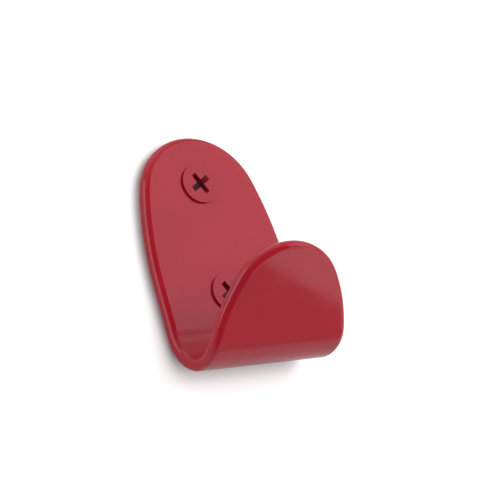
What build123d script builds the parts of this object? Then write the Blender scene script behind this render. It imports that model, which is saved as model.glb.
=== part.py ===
from build123d import *
import os
from math import atan2, degrees, radians, sin, tan

# Wall hook: one oval strip folded into a J, fixed to the wall by two countersunk screws.
# The back of the plate lies on the plane Y = 0, the hook stands out towards -Y, and +Z is up the wall.
# The origin is on the back of the plate, midway between the two screws.

# Strip
strip_width = 29.0
thickness = 2.5
edge_radius = 1.2

# Back plate, with its round upper end
plate_top = 19.7
plate_tip_radius = 12.5
plate_end_length = 26.7

# Bend and lip: the lip leaves the bend leaning outward, with a round end of its own
bend_start = 17.6
bend_inner_radius = 5.6
bend_angle = 140.0
lip_length = 17.2
lip_tip_radius = 12.2
flare_angle = 42.0

# Countersunk screw holes, one above the other
screw_spacing = 20.9
hole_diameter = 4.4
sink_diameter = 6.95
sink_angle = 90.0

# Screws: flat countersunk heads with a cross recess, shank, thread core and point
head_diameter = 7.4
head_rim = 0.2
shank_diameter = 3.8
core_diameter = 2.8
screw_length = 20.0
point_length = 2.4
seat_clearance = 0.02
recess_span = 4.3
recess_floor_span = 1.9
recess_width = 1.05
recess_depth = 1.7
recess_turns = (-29.0, -31.0)

# The strip is cut longer than the hook, and its spare ends and corners are then trimmed to the round ends
trim_allowance = 2.0

half_width = strip_width / 2
bend_outer_radius = bend_inner_radius + thickness

# The sides of the lip go on spreading for this part of the bend before they run straight
lip_end_length = lip_length + bend_inner_radius * sin(radians(flare_angle))

os.makedirs("parts", exist_ok=True)


def end_corners(plane, tip_radius, end_length):
    """Waste around a round end, which is a tip arc between long side arcs that run into straight sides.

    The tip of the end is at the plane's origin and its sides run towards the plane's -Y.
    """
    rise = end_length - tip_radius
    side_radius = (half_width**2 + rise**2 - tip_radius**2) / (2 * (half_width - tip_radius))
    side_angle = degrees(atan2(rise, side_radius - half_width))
    with BuildSketch(plane) as corners:
        with Locations((0, 2 * trim_allowance)):
            Rectangle(
                strip_width + 2 * trim_allowance,
                end_length + 2 * trim_allowance,
                align=(Align.CENTER, Align.MAX),
            )
        with BuildLine():
            left_side = JernArc((-half_width, -end_length), (0, 1), side_radius, -side_angle)
            tip = JernArc(left_side @ 1, left_side % 1, tip_radius, 2 * side_angle - 180)
            right_side = JernArc(tip @ 1, tip % 1, side_radius, -side_angle)
            Line(right_side @ 1, left_side @ 0)
        make_face(mode=Mode.SUBTRACT)
    return corners.sketch


# Hook body: the folded strip, trimmed to its oval outline, with round edges and two countersunk holes
with BuildPart() as hook_body:
    with BuildSketch(Plane.YZ):
        with BuildLine():
            back = Line((0, plate_top + trim_allowance), (0, -bend_start))
            bend = JernArc(back @ 1, back % 1, bend_outer_radius, -bend_angle)
            lip = PolarLine(bend @ 1, lip_length + trim_allowance, direction=bend % 1)
            offset(amount=thickness, side=Side.RIGHT)
        make_face()
    extrude(amount=half_width, both=True)

    plate_end = Plane(origin=(0, trim_allowance, plate_top), x_dir=(1, 0, 0), z_dir=(0, -1, 0))
    extrude(
        end_corners(plate_end, plate_tip_radius, plate_end_length),
        amount=2 * trim_allowance + thickness,
        mode=Mode.SUBTRACT,
    )

    lip_direction = lip % 1
    lip_tip = (lip @ 0) + lip_direction * lip_length
    lip_end = Plane(
        origin=(0, lip_tip.X, lip_tip.Y),
        x_dir=(1, 0, 0),
        z_dir=(0, -lip_direction.Y, lip_direction.X),
    )
    extrude(
        end_corners(lip_end.offset(trim_allowance), lip_tip_radius, lip_end_length),
        amount=-(trim_allowance + bend_outer_radius),
        mode=Mode.SUBTRACT,
    )

    broad_faces = hook_body.faces().sort_by(SortBy.AREA)[-6:]
    fillet(broad_faces.edges().filter_by(Axis.X, reverse=True), edge_radius)

    with Locations(Plane.XZ.offset(thickness)):
        with GridLocations(0, screw_spacing, 1, 2):
            CounterSinkHole(
                radius=hole_diameter / 2,
                counter_sink_radius=sink_diameter / 2,
                depth=thickness,
                counter_sink_angle=sink_angle,
            )

hook_body.part.label = "hook_body"
export_step(hook_body.part, "parts/hook_body.step")

# One screw: the cone of its head sits in the countersink and leaves the rim standing proud of the plate
cone_slope = tan(radians(sink_angle / 2))
head_proud = head_rim + (head_diameter - sink_diameter) / 2 / cone_slope + seat_clearance
head_top = -thickness - head_proud
cone_end = head_top + head_rim + (head_diameter - shank_diameter) / 2 / cone_slope
screw_tip = head_top + screw_length

# Cross recess: two slots at right angles, with sloping ends
with BuildPart() as recess:
    with BuildSketch(Plane.XY):
        with BuildLine():
            Polyline(
                (-recess_span / 2, head_top),
                (recess_span / 2, head_top),
                (recess_floor_span / 2, head_top + recess_depth),
                (-recess_floor_span / 2, head_top + recess_depth),
                close=True,
            )
        make_face()
    extrude(amount=recess_width / 2, both=True)
    add(recess.part.rotate(Axis.Y, 90))

# The turned screw, with the recess cut into its head
with BuildPart() as screw:
    with BuildSketch(Plane.XY):
        with BuildLine():
            Polyline(
                (0, head_top),
                (head_diameter / 2, head_top),
                (head_diameter / 2, head_top + head_rim),
                (shank_diameter / 2, cone_end),
                (shank_diameter / 2, 0),
                (core_diameter / 2, 0),
                (core_diameter / 2, screw_tip - point_length),
                (0, screw_tip),
                close=True,
            )
        make_face()
    revolve(axis=Axis.Y)
    add(recess.part, mode=Mode.SUBTRACT)

# The two screws, driven until their recesses stopped at their own angles
with BuildPart() as mounting_screws:
    for height, turn in zip((screw_spacing / 2, -screw_spacing / 2), recess_turns):
        with Locations(Location((0, 0, height), (0, turn, 0))):
            add(screw.part)

mounting_screws.part.label = "mounting_screws"
export_step(mounting_screws.part, "parts/mounting_screws.step")
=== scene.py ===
import math

import bmesh
import bpy
from mathutils import Matrix, Vector


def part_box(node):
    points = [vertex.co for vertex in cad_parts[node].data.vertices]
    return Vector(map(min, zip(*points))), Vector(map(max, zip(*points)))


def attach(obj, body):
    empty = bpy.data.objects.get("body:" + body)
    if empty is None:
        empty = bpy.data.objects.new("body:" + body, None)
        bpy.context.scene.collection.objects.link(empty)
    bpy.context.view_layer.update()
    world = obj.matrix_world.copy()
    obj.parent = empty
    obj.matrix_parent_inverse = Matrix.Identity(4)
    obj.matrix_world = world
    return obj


# A gloss red wall hook, held to a white wall by two countersunk screws. Lengths are metres, in the frame of
# the solids: the back of the plate lies on Y = 0, the hook stands out towards -Y, and +Z is up the wall.

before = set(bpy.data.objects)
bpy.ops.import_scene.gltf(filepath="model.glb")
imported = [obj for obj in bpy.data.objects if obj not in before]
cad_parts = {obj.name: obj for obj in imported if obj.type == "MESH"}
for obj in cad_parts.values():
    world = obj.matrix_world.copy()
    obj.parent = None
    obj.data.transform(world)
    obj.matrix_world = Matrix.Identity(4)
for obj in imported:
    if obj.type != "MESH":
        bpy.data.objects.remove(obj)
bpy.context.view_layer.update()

# Hook body
# One steel strip, cut to an oval outline, rounded along its edges and folded into a J.
# It is sprayed all over with a gloss red enamel that has flowed out to a faint orange peel.
# The spray hardly reaches the inside of the bend, so the enamel is duller there.

enamel_red = (0.38, 0.009, 0.021, 1)
enamel_ior = 1.45
enamel_roughness = (0.06, 0.11)
cloud_tints = (0.95, 1.04)
cloud_span = (0.3, 0.7)
wiped_span = (0.4, 0.8)
peel_height = 0.000003
nib_size = 0.05
nib_rarity = 0.8

bend_outer_radius = 0.0081

# Between these distances from the bend's axis the enamel turns dull
dull_reach = (0.00578, 0.00561)
dull_gloss_loss = 0.25

# Between these heights the plate leans softly into the bend, and the lean fades out over these depths
lean_heights = (-0.0135, -0.0205)
lean_depths = (-0.008, -0.0034)
lean_rise = 0.00025

hook_low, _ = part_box("hook_body")
bend_height = hook_low.z + bend_outer_radius


def add_node(tree, kind, settings=None, values=None):
    """A new node with its settings and its unlinked input values."""
    node = tree.nodes.new(kind)
    for name, value in (settings or {}).items():
        setattr(node, name, value)
    for name, value in (values or {}).items():
        node.inputs[name].default_value = value
    return node


def remap(tree, source, from_range, to_range):
    """A Map Range node that eases a value from one range to another, held at the ends."""
    values = {
        "From Min": from_range[0],
        "From Max": from_range[1],
        "To Min": to_range[0],
        "To Max": to_range[1],
    }
    node = add_node(tree, "ShaderNodeMapRange", {"interpolation_type": "SMOOTHSTEP"}, values)
    tree.links.new(source, node.inputs["Value"])
    return node.outputs["Result"]


def calculate(tree, operation, first, second):
    """A Math node on a socket and on a second socket or a number."""
    node = add_node(tree, "ShaderNodeMath", {"operation": operation})
    tree.links.new(first, node.inputs[0])
    if isinstance(second, bpy.types.NodeSocket):
        tree.links.new(second, node.inputs[1])
    else:
        node.inputs[1].default_value = second
    return node.outputs[0]


def distance(tree, first, second):
    """The distance from an axis, from two offsets at right angles to it."""
    squares = [calculate(tree, "MULTIPLY", offset, offset) for offset in (first, second)]
    return calculate(tree, "POWER", calculate(tree, "ADD", *squares), 0.5)


def place_on_object(tree):
    """The place on the object: across, in depth and up."""
    place = add_node(tree, "ShaderNodeSeparateXYZ")
    tree.links.new(add_node(tree, "ShaderNodeTexCoord").outputs["Object"], place.inputs[0])
    return place.outputs


def noise(tree, coordinates, scale, detail):
    """A noise texture with that many features to the metre."""
    node = add_node(tree, "ShaderNodeTexNoise", values={"Scale": scale, "Detail": detail})
    tree.links.new(coordinates, node.inputs["Vector"])
    return node.outputs[0]


def new_group(name, inputs, outputs):
    """An empty shader node group with those sockets, its input node and its output node."""
    group = bpy.data.node_groups.new(name, "ShaderNodeTree")
    for socket_name, socket_type, value in inputs:
        socket = group.interface.new_socket(socket_name, in_out="INPUT", socket_type=socket_type)
        socket.default_value = value
    for socket_name, socket_type in outputs:
        group.interface.new_socket(socket_name, in_out="OUTPUT", socket_type=socket_type)
    return group, group.nodes.new("NodeGroupInput"), group.nodes.new("NodeGroupOutput")


def sprayed_enamel():
    """Gloss enamel: slightly cloudy colour, wiped patches in the gloss, orange peel and a few dust nibs."""
    group, given, result = new_group(
        "sprayed enamel",
        [("Colour", "NodeSocketColor", enamel_red), ("Gloss Loss", "NodeSocketFloat", 0.0)],
        [("Colour", "NodeSocketColor"), ("Roughness", "NodeSocketFloat"), ("Height", "NodeSocketFloat")],
    )
    place = add_node(group, "ShaderNodeTexCoord").outputs["Object"]

    tint = add_node(group, "ShaderNodeHueSaturation")
    group.links.new(given.outputs["Colour"], tint.inputs["Color"])
    cloud = noise(group, place, scale=70, detail=2)
    group.links.new(remap(group, cloud, cloud_span, cloud_tints), tint.inputs["Value"])
    group.links.new(tint.outputs["Color"], result.inputs["Colour"])

    wiped = noise(group, place, scale=160, detail=4)
    gloss = remap(group, wiped, wiped_span, enamel_roughness)
    rough = calculate(group, "ADD", gloss, given.outputs["Gloss Loss"])
    group.links.new(rough, result.inputs["Roughness"])

    peel = noise(group, place, scale=750, detail=1)
    nibs = add_node(group, "ShaderNodeTexVoronoi", values={"Scale": 240})
    group.links.new(place, nibs.inputs["Vector"])
    nib_bumps = remap(group, nibs.outputs["Distance"], (0, nib_size), (1, 0))
    chosen = calculate(group, "GREATER_THAN", nibs.outputs["Color"], nib_rarity)
    relief = calculate(group, "ADD", peel, calculate(group, "MULTIPLY", nib_bumps, chosen))
    group.links.new(calculate(group, "MULTIPLY", relief, peel_height), result.inputs["Height"])
    return group


enamel = sprayed_enamel()


def new_material(name):
    """An empty material, its node tree and its Principled shader."""
    material = bpy.data.materials.new(name)
    material.use_nodes = True
    tree = material.node_tree
    return material, tree, tree.nodes["Principled BSDF"]


def use_group(tree, group):
    """A node that places a group in a material."""
    return add_node(tree, "ShaderNodeGroup", {"node_tree": group})


def bump(tree, shader, height):
    """A Bump node from a height in metres to a shader's normal."""
    node = add_node(tree, "ShaderNodeBump", values={"Distance": 1})
    tree.links.new(height, node.inputs["Height"])
    tree.links.new(node.outputs["Normal"], shader.inputs["Normal"])


def hook_enamel():
    """The hook's own coat of enamel, dull inside the bend, with the plate's soft lean into it."""
    material, tree, shader = new_material("hook enamel")
    coat = use_group(tree, enamel)
    _, depth, up = place_on_object(tree)

    from_bend = distance(
        tree,
        calculate(tree, "ADD", depth, bend_outer_radius),
        calculate(tree, "SUBTRACT", up, bend_height),
    )
    gloss_loss = remap(tree, from_bend, dull_reach, (0, dull_gloss_loss))
    tree.links.new(gloss_loss, coat.inputs["Gloss Loss"])

    low_down = remap(tree, up, lean_heights, (0, 1))
    on_plate = remap(tree, depth, lean_depths, (0, 1))
    lean = calculate(tree, "MULTIPLY", calculate(tree, "MULTIPLY", low_down, on_plate), lean_rise)
    bump(tree, shader, calculate(tree, "ADD", coat.outputs["Height"], lean))

    shader.inputs["IOR"].default_value = enamel_ior
    tree.links.new(coat.outputs["Colour"], shader.inputs["Base Color"])
    tree.links.new(coat.outputs["Roughness"], shader.inputs["Roughness"])
    return material


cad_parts["hook_body"].data.materials[0] = hook_enamel()

# Mounting screws
# Two steel wood screws with flat countersunk heads and cross recesses, driven through the plate.
# The heads carry the red enamel, a little darker than the hook's, the recesses are dark steel with painted
# shade, and the shanks are bright zinc.

head_red = (0.36, 0.0085, 0.02, 1)
head_gloss_loss = 0.06
# Dark steel in the recesses, painted darker still as shade where the recess is deep
recess_steel_and_shade = (0.12, 0.02, 0.027, 1)
recess_rough = 0.6
zinc_grey = (0.62, 0.63, 0.66, 1)
zinc_tints = (0.85, 1.1)
zinc_span = (0.3, 0.7)
zinc_roughness = (0.22, 0.36)

# The recess's painted shade deepens towards the screw's axis and below the head's top, and the zinc starts on
# the shank
recess_reach = (0.0017, 0.00085)
recess_depths = (0.00003, 0.0002)
shank_depths = (-0.0009, -0.0008)

screws_low, screws_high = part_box("mounting_screws")
head_radius = (screws_high.x - screws_low.x) / 2
head_top = screws_low.y
screw_height = screws_high.z - head_radius


def plated_zinc():
    """Bright zinc plating, with patches in its colour and gloss."""
    group, _, result = new_group(
        "plated zinc",
        [],
        [("Colour", "NodeSocketColor"), ("Roughness", "NodeSocketFloat")],
    )
    place = add_node(group, "ShaderNodeTexCoord").outputs["Object"]
    tint = add_node(group, "ShaderNodeHueSaturation", values={"Color": zinc_grey})
    patches = noise(group, place, scale=900, detail=3)
    group.links.new(remap(group, patches, zinc_span, zinc_tints), tint.inputs["Value"])
    group.links.new(tint.outputs["Color"], result.inputs["Colour"])
    group.links.new(remap(group, patches, zinc_span, zinc_roughness), result.inputs["Roughness"])
    return group


zinc = plated_zinc()


def mix(tree, kind, mask, first, second):
    """A Mix node from a first value, where the mask is 0, to a second one, where it is 1."""
    node = add_node(tree, "ShaderNodeMix", {"data_type": kind})
    sockets = [socket for socket in node.inputs if socket.enabled]
    tree.links.new(mask, sockets[0])
    for socket, value in zip(sockets[1:], (first, second)):
        if isinstance(value, bpy.types.NodeSocket):
            tree.links.new(value, socket)
        else:
            socket.default_value = value
    return next(socket for socket in node.outputs if socket.enabled)


def screw_finish():
    """Enamel on the heads, dark steel with painted shade in the recesses and zinc from the shanks down."""
    material, tree, shader = new_material("screw finish")
    coat = use_group(tree, enamel)
    coat.inputs["Colour"].default_value = head_red
    coat.inputs["Gloss Loss"].default_value = head_gloss_loss
    plating = use_group(tree, zinc)
    across, depth, up = place_on_object(tree)

    above_axis = calculate(tree, "SUBTRACT", calculate(tree, "ABSOLUTE", up, 0), screw_height)
    inside = remap(tree, distance(tree, across, above_axis), recess_reach, (0, 1))
    below_top = remap(tree, calculate(tree, "SUBTRACT", depth, head_top), recess_depths, (0, 1))
    shaded_recess = calculate(tree, "MULTIPLY", inside, below_top)
    shank = remap(tree, depth, shank_depths, (0, 1))

    # Painted shade: the recess mask turns the colour to the dark, shaded steel
    colour = mix(tree, "RGBA", shaded_recess, coat.outputs["Colour"], recess_steel_and_shade)
    colour = mix(tree, "RGBA", shank, colour, plating.outputs["Colour"])
    rough = mix(tree, "FLOAT", shaded_recess, coat.outputs["Roughness"], recess_rough)
    rough = mix(tree, "FLOAT", shank, rough, plating.outputs["Roughness"])
    shader.inputs["IOR"].default_value = enamel_ior
    tree.links.new(colour, shader.inputs["Base Color"])
    tree.links.new(rough, shader.inputs["Roughness"])
    tree.links.new(shank, shader.inputs["Metallic"])
    bump(tree, shader, coat.outputs["Height"])
    return material


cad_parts["mounting_screws"].data.materials[0] = screw_finish()

# Screw threads
# The rolled ridge of each screw, from behind the plate to the end of its point.
# It is one right-hand helix of zinc-plated steel, standing on the thread core.

core_radius = 0.0014
crest_radius = 0.002
thread_pitch = 0.0018
ridge_base = 0.0008
ridge_crest = 0.00012
ridge_sink = 0.0001
thread_start = 0.0004
point_length = 0.0024
bare_turns = 0.5
steps_per_turn = 36

screw_tip = screws_high.y
thread_turns = (screw_tip - thread_start) / thread_pitch - bare_turns


def thread_ridge():
    """One ridge on the axis X = Z = 0, spun from its section and drawn in along the screw's point."""
    mesh = bmesh.new()
    root_radius = core_radius - ridge_sink
    section = [
        mesh.verts.new((root_radius, thread_start - ridge_base / 2, 0)),
        mesh.verts.new((crest_radius, thread_start - ridge_crest / 2, 0)),
        mesh.verts.new((crest_radius, thread_start + ridge_crest / 2, 0)),
        mesh.verts.new((root_radius, thread_start + ridge_base / 2, 0)),
    ]
    edges = [mesh.edges.new((section[i - 1], section[i])) for i in range(len(section))]
    bmesh.ops.spin(
        mesh,
        geom=section + edges,
        cent=(0, 0, 0),
        axis=(0, 1, 0),
        dvec=(0, thread_pitch / steps_per_turn, 0),
        angle=math.tau * thread_turns,
        steps=round(steps_per_turn * thread_turns),
    )
    bmesh.ops.holes_fill(mesh, edges=[edge for edge in mesh.edges if edge.is_boundary])
    for vert in mesh.verts:
        drawn_in = min(1, (screw_tip - vert.co.y) / point_length)
        vert.co.x *= drawn_in
        vert.co.z *= drawn_in
    bmesh.ops.recalc_face_normals(mesh, faces=mesh.faces)
    return mesh


def new_piece(name, mesh, material):
    """A piece made of that mesh and material, at the origin."""
    data = bpy.data.meshes.new(name)
    mesh.to_mesh(data)
    mesh.free()
    data.materials.append(material)
    piece = bpy.data.objects.new(name, data)
    bpy.context.scene.collection.objects.link(piece)
    return piece


def thread_zinc():
    """The plating on the ridges."""
    material, tree, shader = new_material("thread zinc")
    plating = use_group(tree, zinc)
    shader.inputs["Metallic"].default_value = 1
    tree.links.new(plating.outputs["Colour"], shader.inputs["Base Color"])
    tree.links.new(plating.outputs["Roughness"], shader.inputs["Roughness"])
    return material


ridges = thread_ridge()
bmesh.ops.translate(ridges, vec=(0, 0, screw_height), verts=ridges.verts)
lower_ridge = bmesh.ops.duplicate(ridges, geom=ridges.faces)["geom"]
lower_verts = [item for item in lower_ridge if isinstance(item, bmesh.types.BMVert)]
bmesh.ops.translate(ridges, vec=(0, 0, -2 * screw_height), verts=lower_verts)
screw_threads = new_piece("screw_threads", ridges, thread_zinc())
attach(screw_threads, "root")

# Wall
# The plain matt surface that the plate lies on. It shows white, apart from the hook's soft shadow, which is
# partly cast by the lamps and partly painted into the wall's glow.
# It is clear from behind and to the plate's own back, so that the back and the screws can be looked at.

wall_span = 4.0
wall_gap = 0.00002
wall_white = (0.68, 0.68, 0.68, 1)
wall_lift = 0.52
mirror_lift = 0.04
# The painted shadow: the wall's glow fades within this reach of the hook, most on the side turned away from
# the given light side
painted_shadow_reach = 0.0055
painted_shadow_range = (0.2, 0.9)
painted_light_side = (0.5, -0.86, -0.04)
plate_ray_length = 3 * wall_gap


def wall_paint():
    """Matt white, lifted by a glow for the camera and in reflections, with a painted shadow where the hook
    stands close by.
    """
    material, tree, shader = new_material("wall paint")
    tree.nodes.remove(shader)
    output = tree.nodes["Material Output"]
    path = add_node(tree, "ShaderNodeLightPath").outputs

    seen = calculate(tree, "MULTIPLY", path["Is Camera Ray"], wall_lift)
    mirrored = calculate(tree, "MAXIMUM", path["Is Glossy Ray"], path["Is Transmission Ray"])
    lift = calculate(tree, "ADD", seen, calculate(tree, "MULTIPLY", mirrored, mirror_lift))
    # Painted shadow: ambient occlusion, turned towards one side, dims the glow beside the hook
    nearby = add_node(tree, "ShaderNodeAmbientOcclusion", values={"Distance": painted_shadow_reach})
    facing = add_node(tree, "ShaderNodeVectorMath", {"operation": "NORMALIZE"}, {0: painted_light_side})
    tree.links.new(facing.outputs["Vector"], nearby.inputs["Normal"])
    outside_painted_shadow = remap(tree, nearby.outputs["AO"], painted_shadow_range, (0, 1))

    matt = add_node(tree, "ShaderNodeBsdfDiffuse", values={"Color": wall_white})
    glow = add_node(tree, "ShaderNodeEmission")
    tree.links.new(calculate(tree, "MULTIPLY", lift, outside_painted_shadow), glow.inputs["Strength"])
    lit = add_node(tree, "ShaderNodeAddShader")
    tree.links.new(matt.outputs[0], lit.inputs[0])
    tree.links.new(glow.outputs[0], lit.inputs[1])

    behind = add_node(tree, "ShaderNodeNewGeometry").outputs["Backfacing"]
    from_plate = calculate(tree, "LESS_THAN", path["Ray Length"], plate_ray_length)
    clear = add_node(tree, "ShaderNodeBsdfTransparent")
    sides = add_node(tree, "ShaderNodeMixShader")
    tree.links.new(calculate(tree, "MAXIMUM", behind, from_plate), sides.inputs[0])
    tree.links.new(lit.outputs[0], sides.inputs[1])
    tree.links.new(clear.outputs[0], sides.inputs[2])
    tree.links.new(sides.outputs[0], output.inputs["Surface"])
    return material


wall_mesh = bmesh.new()
bmesh.ops.create_grid(wall_mesh, x_segments=1, y_segments=1, size=wall_span / 2)
bmesh.ops.rotate(
    wall_mesh,
    cent=(0, 0, 0),
    matrix=Matrix.Rotation(math.pi / 2, 3, "X"),
    verts=wall_mesh.verts,
)
bmesh.ops.translate(wall_mesh, vec=(0, wall_gap, 0), verts=wall_mesh.verts)
wall = new_piece("wall", wall_mesh, wall_paint())

# Light
# A cool soft box at the front right gives the plate its sheen, and a low card gives the lip its own.
# A side card and an overhead light brighten the rims, in a plain room with one end dark in reflections.
# The key light carries a polariser, so it lights the paint and casts the shadow with no glare of its own.

room_brightness = 0.58
mirrored_brightness = 0.52
dark_brightness = 0.06
dark_end = Vector((-0.163, -0.925, -0.342))
dark_reach = (math.cos(math.radians(56)), math.cos(math.radians(50)))
backdrop_white = 1
daylight = (0.97, 1.0, 1.14)


def soft_light(name, place, size, radiance, roll=0):
    """A rectangular soft light that faces the hook, with the brightness of its surface given."""
    lamp = bpy.data.lights.new(name, "AREA")
    lamp.shape = "RECTANGLE"
    lamp.size, lamp.size_y = size
    lamp.energy = radiance * math.pi * lamp.size * lamp.size_y
    light = bpy.data.objects.new(name, lamp)
    turn = Vector(place).to_track_quat("Z", "Y").to_matrix() @ Matrix.Rotation(math.radians(roll), 3, "Z")
    light.matrix_world = Matrix.Translation(place) @ turn.to_4x4()
    bpy.context.scene.collection.objects.link(light)
    return light


soft_box = soft_light("soft_box", place=(0.73, -0.7, 0.3), size=(0.6, 0.8), radiance=0.85)
soft_box.data.color = daylight
soft_light("overhead", place=(-0.05, -0.25, 0.95), size=(0.8, 0.5), radiance=0.6)
soft_light("side_card", place=(-0.93, -0.25, 0.42), size=(0.6, 1.1), radiance=1.7)
soft_light("low_card", place=(0.0906, -0.0869, -0.0706), size=(0.09, 0.09), radiance=1.0, roll=6)
key = soft_light("key", place=(0.6, -0.75, 0.25), size=(0.7, 0.7), radiance=3.3)
key.visible_glossy = False

world = bpy.data.worlds.new("room")
world.use_nodes = True
bpy.context.scene.world = world
room = world.node_tree
towards = add_node(room, "ShaderNodeVectorMath", {"operation": "DOT_PRODUCT"}, {1: dark_end})
room.links.new(add_node(room, "ShaderNodeTexCoord").outputs["Generated"], towards.inputs[0])
dark = remap(room, towards.outputs["Value"], dark_reach, (0, 1))
mirrored_room = remap(room, dark, (0, 1), (mirrored_brightness, dark_brightness))
room_path = add_node(room, "ShaderNodeLightPath").outputs
brightness = mix(room, "FLOAT", room_path["Is Glossy Ray"], room_brightness, mirrored_room)
brightness = mix(room, "FLOAT", room_path["Is Camera Ray"], brightness, backdrop_white)
room.links.new(brightness, room.nodes["Background"].inputs["Color"])

# Camera
# It looks up at the hook from the lower left, a little rolled, through a long lens.

camera_aim = Vector((0.002177, -0.008987, -0.004942))
camera_distance = 0.77424
camera_azimuth = math.radians(-36.28)
camera_elevation = math.radians(-14.24)
camera_roll = math.radians(-15.61)
camera_lens = 311.58

towards_camera = Vector((
    math.sin(camera_azimuth) * math.cos(camera_elevation),
    -math.cos(camera_azimuth) * math.cos(camera_elevation),
    math.sin(camera_elevation),
))
camera = bpy.data.objects.new("camera", bpy.data.cameras.new("camera"))
camera.data.lens = camera_lens
camera_turn = towards_camera.to_track_quat("Z", "Y").to_matrix() @ Matrix.Rotation(camera_roll, 3, "Z")
camera.matrix_world = Matrix.Translation(camera_aim + camera_distance * towards_camera) @ camera_turn.to_4x4()
bpy.context.scene.collection.objects.link(camera)
bpy.context.scene.camera = camera
bpy.context.scene.view_settings.view_transform = "Standard"
